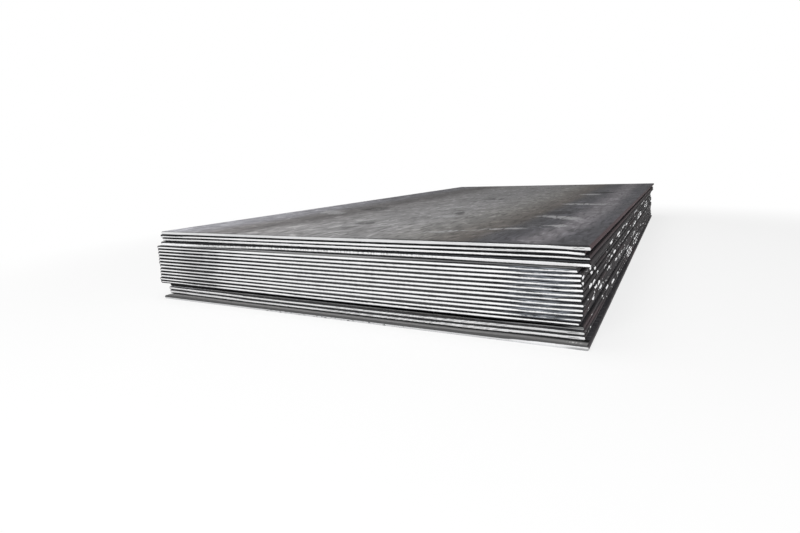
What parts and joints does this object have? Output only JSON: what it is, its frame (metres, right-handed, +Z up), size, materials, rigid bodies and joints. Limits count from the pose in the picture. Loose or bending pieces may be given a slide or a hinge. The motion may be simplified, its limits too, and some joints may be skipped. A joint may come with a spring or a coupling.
{
  "type": "steel plate stack",
  "caption": "Squared stack of flat rectangular hot-rolled steel plates with sheared ends and rounded mill edges, laid face to face as raw stock.",
  "frame": {"origin": "middle of the lowest plate's underside, on the floor", "axes": "+Z up through the plates, +Y along the rolling direction to the back, +X across the plates to the right; the front seen in the picture is at -Y"},
  "size_m": [1.2788, 2.5476, 0.2],
  "materials": {
    "steel_plate": "mill scale on the faces and long edges, bright bare steel on the sheared ends"
  },
  "bodies": {
    "root": {"plate_01": "steel_plate", "plate_02": "steel_plate", "plate_03": "steel_plate", "plate_04": "steel_plate", "plate_05": "steel_plate", "plate_06": "steel_plate", "plate_07": "steel_plate", "plate_08": "steel_plate", "plate_09": "steel_plate", "plate_10": "steel_plate", "plate_11": "steel_plate", "plate_12": "steel_plate", "plate_13": "steel_plate", "plate_14": "steel_plate", "plate_15": "steel_plate", "plate_16": "steel_plate", "plate_17": "steel_plate", "plate_18": "steel_plate", "plate_19": "steel_plate", "plate_20": "steel_plate"}
  },
  "joints": []
}
